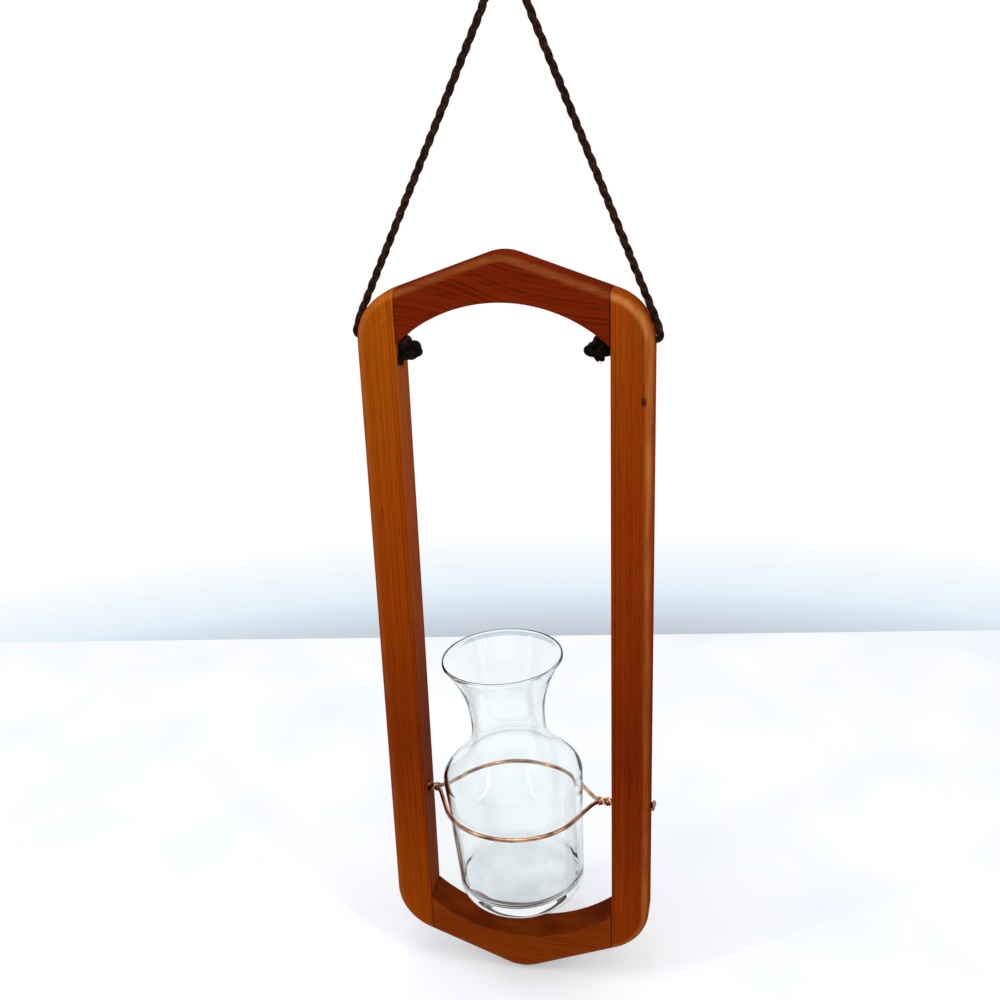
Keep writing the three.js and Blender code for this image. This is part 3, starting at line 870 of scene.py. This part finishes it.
def board(outline):
    """A board with worked edges, and a weight for its paler edges, partly wear and partly painted
    highlight: above 0 on outer edges, -1 on inner faces, where painted shade can go.
    """
    points = np.array(outline.points)
    outer = np.array(outline.outer)
    inner = np.array(outline.inner)
    is_outer = np.abs(outer).sum(axis=1) > 0
    is_inner = (np.abs(inner).sum(axis=1) > 0) & ~is_outer
    rings = []
    wear_and_highlight = []
    layers = edge_layers()
    for facing, order in ((1, reversed(layers)), (-1, layers)):
        for (outer_depth, inset), (inner_depth, ease) in order:
            # Paler edges, partly wear and partly painted highlight, are strongest half-way round the
            # rounded edge
            wear_and_highlight_share = math.sin(math.pi * min(inset / EDGE_RADIUS, 1.0))
            hollow = is_inner & (inner_depth < HALF_THICK)
            wear_and_highlight.append(np.where(is_outer, wear_and_highlight_share, np.where(hollow, -1.0, 0.0)))
            flat = points + outer * inset + inner * ease
            depth = np.where(is_inner, inner_depth, outer_depth) * facing
            rings.append(np.stack([flat[:, 0], depth, flat[:, 1]], axis=1) + FRAME_PLACE)
    shape = Shape()
    shape.add_rings(np.array(rings))
    shape.wear_and_highlight = np.concatenate(wear_and_highlight)
    return shape


TOP_SLOPE = (TOP_PEAK - TOP_RAIL_END) / INNER_HALF
BOTTOM_SLOPE = (BOTTOM_RAIL_END - BOTTOM_POINT) / INNER_HALF
TOP_STRETCH = math.hypot(1, TOP_SLOPE)
BOTTOM_STRETCH = math.hypot(1, BOTTOM_SLOPE)
TOP_LEAN = math.degrees(math.atan(TOP_SLOPE))
BOTTOM_LEAN = math.degrees(math.atan(BOTTOM_SLOPE))


def corner_height(line_z, slope, radius, sign):
    """Height of the middle of a corner's arc, between a sloping edge and the stile's side."""
    x = HALF_WIDTH - radius
    return line_z - sign * (slope * x + radius * math.hypot(1, slope))


def stile_outline(side):
    """A stile's outline; side is 1 for the right stile and -1 for the left one."""
    outline = Outline()
    top = corner_height(TOP_PEAK, TOP_SLOPE, TOP_CORNER_RADIUS, 1)
    bottom = corner_height(BOTTOM_POINT, BOTTOM_SLOPE, BOTTOM_CORNER_RADIUS, -1)
    top_middle = (HALF_WIDTH - TOP_CORNER_RADIUS, top)
    bottom_middle = (HALF_WIDTH - BOTTOM_CORNER_RADIUS, bottom)
    outline.add((INNER_HALF, TOP_RAIL_END), outer=(0, -TOP_STRETCH), inner=(1, 0))
    outline.add_outer_arc(top_middle, TOP_CORNER_RADIUS, 90 - TOP_LEAN, 0, CORNER_STEPS)
    for z in np.linspace(top, bottom, STILE_OUTER_POINTS)[1:-1]:
        outline.add((HALF_WIDTH, z), outer=(-1, 0))
    outline.add_outer_arc(bottom_middle, BOTTOM_CORNER_RADIUS, 0, BOTTOM_LEAN - 90, CORNER_STEPS)
    outline.add((INNER_HALF, BOTTOM_RAIL_END), outer=(0, BOTTOM_STRETCH), inner=(1, 0))
    for z in np.linspace(BOTTOM_RAIL_END + EDGE_END, TOP_RAIL_END - EDGE_END, STILE_INNER_POINTS):
        outline.add((INNER_HALF, z), inner=(1, 0))
    for values in (outline.points, outline.outer, outline.inner):
        values[:] = [(side * x, z) for x, z in values]
    return outline


def rail_outline(peak, slope, lean, arc_top, arc_radius, up):
    """A rail's outline; up is 1 for the top rail and -1 for the bottom one."""
    outline = Outline()
    stretch = math.hypot(1, slope)
    end = peak - up * slope * RAIL_HALF
    peak_middle = (0, peak - up * PEAK_RADIUS * stretch)
    arc_middle = arc_top - up * arc_radius
    arc_end = arc_middle + up * math.sqrt(arc_radius ** 2 - RAIL_HALF ** 2)
    arc_stretch = arc_radius / abs(arc_end - arc_middle)
    outline.add((-RAIL_HALF, end), outer=(0, -up * stretch))
    for x in np.linspace(-RAIL_HALF, -PEAK_REACH, SLOPE_POINTS)[1:-1]:
        outline.add((x, peak + up * slope * x), outer=(slope / stretch, -up / stretch))
    outline.add_outer_arc(peak_middle, PEAK_RADIUS, up * (90 + lean), up * (90 - lean), PEAK_STEPS)
    for x in np.linspace(PEAK_REACH, RAIL_HALF, SLOPE_POINTS)[1:-1]:
        outline.add((x, peak - up * slope * x), outer=(-slope / stretch, -up / stretch))
    outline.add((RAIL_HALF, end), outer=(0, -up * stretch))
    outline.add((RAIL_HALF, arc_end), inner=(0, up * arc_stretch))
    outline.add_inner_arc(arc_middle, arc_radius, up, ARC_STEPS)
    outline.add((-RAIL_HALF, arc_end), inner=(0, up * arc_stretch))
    return outline


def drill(piece, start, end, radius):
    """Cuts a round hole from one point to another through a piece."""
    start, end = np.array(start) + FRAME_PLACE, np.array(end) + FRAME_PLACE
    shape = Shape()
    shape.add_tube(np.linspace(start, end, 3), radius, HOLE_SIDES, (0, 1, 0))
    cutter = make_piece("cutter", shape, piece.data.materials[0])
    cut = piece.modifiers.new("hole", "BOOLEAN")
    cut.object = cutter
    cut.operation = "DIFFERENCE"
    cut.solver = "EXACT"
    graph = bpy.context.evaluated_depsgraph_get()
    mesh = bpy.data.meshes.new_from_object(piece.evaluated_get(graph))
    piece.modifiers.clear()
    old, piece.data = piece.data, mesh
    mesh.name = old.name
    bpy.data.meshes.remove(old)
    cutter_mesh = cutter.data
    bpy.data.objects.remove(cutter)
    bpy.data.meshes.remove(cutter_mesh)


def add_stile(name, side, material):
    piece = make_piece("wooden_" + name, board(stile_outline(side)), material)
    (x0, z0), (x1, z1) = CORD_HOLE_INSIDE, CORD_HOLE_OUTSIDE
    reach_x, reach_z = (x1 - x0) / 2, (z1 - z0) / 2
    start_x, end_x = side * (x0 - reach_x), side * (x1 + reach_x)
    drill(piece, (start_x, 0, z0 - reach_z), (end_x, 0, z1 + reach_z), CORD_HOLE_RADIUS)
    drill(piece, (start_x, 0, WIRE_HOLE_Z), (end_x, 0, WIRE_HOLE_Z), WIRE_HOLE_RADIUS)
    shade_smooth(piece.data, SHARP_WOOD_ANGLE)
    settle(piece, "frame", "stile_wood", name)


def add_rail(name, outline, material):
    piece = make_piece("wooden_" + name, board(outline), material, SHARP_WOOD_ANGLE)
    settle(piece, "frame", "rail_wood", name)


def add_frame():
    # Each wood finish has a pale and a dark colour, then a paler edge colour that is partly wear and
    # partly painted highlight
    add_stile("left_stile", -1, wood_finish(
        "left_stile_wood", srgb(171, 83, 8), srgb(122, 46, 3), srgb(178, 96, 30),
        axis_place(1.0, 0.45, 0.006), ring_spacing=1.5, along=Z_AXIS, painted_shade_tones=STILE_PAINTED_SHADE,
    ))
    add_stile("right_stile", 1, wood_finish(
        "right_stile_wood", srgb(157, 67, 7), srgb(107, 36, 3), srgb(192, 122, 60),
        axis_place(1.0, -0.6, -0.004), ring_spacing=1.25, along=Z_AXIS,
        knot=(0.0551, -0.0087, -0.1613), painted_shade_tones=STILE_PAINTED_SHADE,
    ))
    top = rail_outline(TOP_PEAK, TOP_SLOPE, TOP_LEAN, ARCH_TOP, ARCH_RADIUS, 1)
    add_rail("top_rail", top, wood_finish(
        "top_rail_wood", srgb(119, 33, 4), srgb(82, 18, 2), srgb(132, 70, 22),
        swept_place, ring_spacing=2.1, along=X_AXIS, seam=True,
    ))
    # The bottom rail's dip gets painted shade, broken by patches of painted caustic light
    bottom = rail_outline(BOTTOM_POINT, BOTTOM_SLOPE, BOTTOM_LEAN, DIP_BOTTOM, DIP_RADIUS, -1)
    add_rail("bottom_rail", bottom, wood_finish(
        "bottom_rail_wood", srgb(134, 55, 6), srgb(104, 36, 3), srgb(136, 64, 18),
        axis_place(0.06, 0.8, 0.6), ring_spacing=1.6, along=X_AXIS, inside=0.9, seam=True,
    ))


def finish_dowels():
    wood = wood_finish(
        "dowel_wood", srgb(214, 178, 120), srgb(176, 132, 80), srgb(214, 178, 120),
        axis_place(0.02, 0.7, 0.7), ring_spacing=1.1, along=X_AXIS,
    )
    for name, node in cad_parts.items():
        if name.endswith("_dowel"):
            for slot in node.material_slots:
                slot.material = wood


# Copper ring

def twist_points(side, facing, start_x, tail_facing):
    """A wire from where the ring's wires meet, round its partner and out to its bent-over end."""
    end_x = HALF_WIDTH - WIRE_RADIUS
    turns = math.floor((end_x - start_x) / TWIST_PITCH) + TWIST_REMAINDER
    steps = round(turns * STEPS_PER_TWIST)
    first_angle = 0 if facing > 0 else math.pi
    points = []
    for i in range(steps + 1):
        angle = first_angle + i / steps * turns * 2 * math.pi
        points.append((
            side * (start_x + i / steps * (end_x - start_x)),
            STRAND_OFFSET * math.cos(angle),
            WIRE_HOLE_Z + STRAND_OFFSET * math.sin(angle),
        ))
    tail_x = HALF_WIDTH + TAIL_GAP + WIRE_RADIUS
    tail_z = WIRE_HOLE_Z + facing * STRAND_OFFSET
    bend = [
        (HALF_WIDTH, 0), (tail_x - WIRE_RADIUS * TAIL_BEND_START, WIRE_RADIUS),
        (tail_x, WIRE_RADIUS * TAIL_BEND_END), (tail_x, TAIL_LENGTH),
    ]
    points.extend((side * x, tail_facing * y, tail_z) for x, y in bend)
    return points


def ring_arc(facing):
    start = math.pi - math.acos(RING_RADIUS / (LEFT_SPLIT - VASE_OFFSET))
    end = math.acos(RING_RADIUS / (RIGHT_SPLIT + VASE_OFFSET))
    return [
        (
            -VASE_OFFSET + RING_RADIUS * math.cos(angle),
            facing * RING_RADIUS * math.sin(angle),
            WIRE_HOLE_Z - RING_SAG,
        )
        for angle in np.linspace(start, end, RING_POINTS)
    ]


def add_ring(material):
    for node, facing in (("ring_wire_front", -1), ("ring_wire_back", 1)):
        route = (
            twist_points(-1, facing, LEFT_SPLIT, 1)[::-1]
            + ring_arc(facing)
            + twist_points(1, facing, RIGHT_SPLIT, -facing)
        )
        points = through(route, WIRE_CURVE_STEPS) + FRAME_PLACE
        radius = np.full(len(points), WIRE_RADIUS)
        radius[[0, -1]] = WIRE_RADIUS * WIRE_END_SHARE
        shape = Shape()
        shape.add_tube(points, radius, WIRE_SIDES, (0, 0, 1))
        piece = make_piece("copper_" + node, shape, material, SHARP_WIRE_ANGLE)
        settle(piece, "ring", "copper", node)


# Glass vase

def vase_outside():
    """Radii and heights up the outside, from the foot to the start of the rim."""
    points = []
    for angle in np.linspace(0, math.pi / 2, BASE_CORNER_POINTS):
        points.append((
            BASE_RADIUS - BASE_CORNER + BASE_CORNER * math.sin(angle),
            BASE_CORNER * (1 - math.cos(angle)),
        ))
    for share in np.linspace(0, 1, BODY_POINTS)[1:-1]:
        points.append((
            BASE_RADIUS + (SHOULDER_RADIUS - BASE_RADIUS) * share,
            BASE_CORNER + (SHOULDER_HEIGHT - BASE_CORNER) * share,
        ))
    hull = np.array([
        (SHOULDER_RADIUS, SHOULDER_HEIGHT), (SHOULDER_RADIUS, SHOULDER_HEIGHT + SHOULDER_PULL),
        (NECK_RADIUS, NECK_HEIGHT - NECK_PULL), (NECK_RADIUS, NECK_HEIGHT),
    ])
    for t in np.linspace(0, 1, SHOULDER_POINTS):
        weights = np.array([(1 - t) ** 3, 3 * t * (1 - t) ** 2, 3 * t * t * (1 - t), t ** 3])
        points.append(tuple(weights @ hull))
    for share in np.linspace(0, 1, FLARE_POINTS)[1:]:
        points.append((
            NECK_RADIUS + (MOUTH_RADIUS - NECK_RADIUS) * share ** FLARE_POWER,
            NECK_HEIGHT + (RIM_START - NECK_HEIGHT) * share,
        ))
    return points


def vase_profile():
    """Radii and heights from the middle of the base, over the rim, to the middle of the floor."""
    outside = vase_outside()
    floor_top = GLASS_FLOOR + FLOOR_CORNER
    taper = ([NECK_HEIGHT, RIM_START], [GLASS_WALL, LIP_WALL])
    inside = [(r - float(np.interp(h, *taper)), h) for r, h in outside if h > floor_top]
    radii, heights = zip(*outside)
    floor_radius = float(np.interp(floor_top, heights, radii)) - GLASS_WALL
    floor = []
    for angle in np.linspace(0, math.pi / 2, ROUND_POINTS):
        floor.append((
            floor_radius - FLOOR_CORNER + FLOOR_CORNER * math.cos(angle),
            floor_top - FLOOR_CORNER * math.sin(angle),
        ))
    rim = []
    for angle in np.linspace(0, math.pi, ROUND_POINTS)[1:-1]:
        rim.append((
            MOUTH_RADIUS - LIP_WALL / 2 * (1 - math.cos(angle)),
            VASE_HEIGHT - RIM_ROUND * (1 - math.sin(angle)),
        ))
    foot = BASE_RADIUS - BASE_CORNER - FOOT_WIDTH
    base = []
    for share in np.linspace(PUNT_START, 1, PUNT_POINTS):
        base.append((foot * share, PUNT_DEPTH * math.cos(share * math.pi / 2) ** 2))
    floor_middle = (floor[-1][0] * FLOOR_CENTRE_SHARE, GLASS_FLOOR)
    return base + outside + rim + inside[::-1] + floor + [floor_middle]


def add_vase(material):
    profile = np.array(vase_profile())
    turn = np.linspace(0, 2 * math.pi, VASE_SEGMENTS, endpoint=False)
    rings = np.stack([
        profile[:, :1] * np.cos(turn), profile[:, :1] * np.sin(turn),
        np.repeat(profile[:, 1:] - VASE_RING_HEIGHT, VASE_SEGMENTS, axis=1),
    ], axis=2)
    lean = np.array(Matrix.Rotation(-VASE_LEAN, 3, "Y"))
    middle = np.array([-VASE_OFFSET, 0, WIRE_HOLE_Z - RING_SAG]) + FRAME_PLACE
    shape = Shape()
    shape.add_rings(rings @ lean.T + middle)
    piece = make_piece("blown_vase", shape, material, SHARP_GLASS_ANGLE)
    settle(piece, "vase", "clear_glass", "glass_vase")


# Floor, backdrop and light

def add_floor():
    along = unit(FLOOR_ALONG)
    nearer = np.array([along[1], -along[0]]) * FLOOR_DEPTH
    left = FLOOR_FAR_MIDDLE - along * FLOOR_HALF_WIDTH
    right = FLOOR_FAR_MIDDLE + along * FLOOR_HALF_WIDTH
    corners = [left, right, right + nearer, left + nearer]
    mesh = bpy.data.meshes.new("floor")
    mesh.from_pydata([(x, y, FLOOR_HEIGHT) for x, y in corners], [], [(0, 1, 2, 3)])
    finish = Finish("floor", Roughness=0.7, Specular_IOR_Level=0.2, Emission_Color=DAYLIGHT)
    cloud = finish.noise(finish.scaled(*FLOOR_CLOUD_SCALE), detail=4.0)
    share = finish.ranged(cloud, *FLOOR_CLOUD_LEVELS)
    finish.feed("Base Color", finish.mixed(share, FLOOR_GREY, FLOOR_PALE))
    rays = finish.node("ShaderNodeLightPath").outputs
    shown = finish.math("MAXIMUM", rays["Is Camera Ray"], rays["Is Transmission Ray"])
    finish.feed("Emission Strength", finish.math("MULTIPLY", shown, FLOOR_GLOW))
    mesh.materials.append(finish.material)
    floor = bpy.data.objects.new("floor", mesh)
    bpy.context.collection.objects.link(floor)


def add_world():
    world = bpy.data.worlds.new("studio")
    world.use_nodes = True
    bpy.context.scene.world = world
    world.node_tree.nodes.clear()
    nodes = Nodes(world.node_tree)
    rays = nodes.node("ShaderNodeLightPath").outputs

    def background(colour, strength):
        return nodes.node("ShaderNodeBackground", {"Color": colour, "Strength": strength}).outputs[0]

    def shown_to(kind, shown, otherwise):
        inputs = {0: rays[kind], 1: otherwise, 2: shown}
        return nodes.node("ShaderNodeMixShader", inputs).outputs[0]

    direction = nodes.node("ShaderNodeTexCoord").outputs["Generated"]
    _, y, z = nodes.node("ShaderNodeSeparateXYZ", {0: direction}).outputs
    colours = [(at, srgb(*colour)) for at, colour in BACKDROP_COLOURS]
    backdrop = nodes.ramp(nodes.ranged(z, *BACKDROP_LEVELS), colours)
    ahead = nodes.ranged(y, *AHEAD_LEVELS, smooth=True)
    overhead = nodes.ranged(z, *OVERHEAD_LEVELS, MIRRORED_LEAST, MIRRORED_OVERHEAD, smooth=True)
    beyond = nodes.ranged(ahead, 0.0, 1.0, MIRRORED_LEAST, MIRRORED_AHEAD)
    mirrored = background(DAYLIGHT, nodes.math("MAXIMUM", overhead, beyond))
    refracted = background(backdrop, nodes.ranged(ahead, 0.0, 1.0, REFRACTED_BEHIND, REFRACTED_AHEAD))
    light = background(DAYLIGHT, BACKDROP_LIGHT)
    light = shown_to("Is Glossy Ray", mirrored, light)
    light = shown_to("Is Transmission Ray", refracted, light)
    light = shown_to("Is Camera Ray", background(backdrop, 1.0), light)
    nodes.node("ShaderNodeOutputWorld", {0: light})


def add_lamp(name, place, target, size, watts):
    data = bpy.data.lights.new(name, "AREA")
    data.shape = "RECTANGLE"
    data.size, data.size_y = size
    data.energy = watts
    lamp = bpy.data.objects.new(name, data)
    bpy.context.collection.objects.link(lamp)
    back = unit(np.subtract(place, target))
    right = unit(np.cross((0, 0, 1), back))
    lamp.matrix_world = placed(right, np.cross(back, right), back, place)


add_camera()
add_cord(cord_finish())
add_frame()
finish_dowels()
add_ring(copper_finish())
add_vase(glass_finish())
add_floor()
add_world()
for lamp in LAMPS:
    add_lamp(*lamp)
bpy.context.scene.view_settings.view_transform = "Standard"
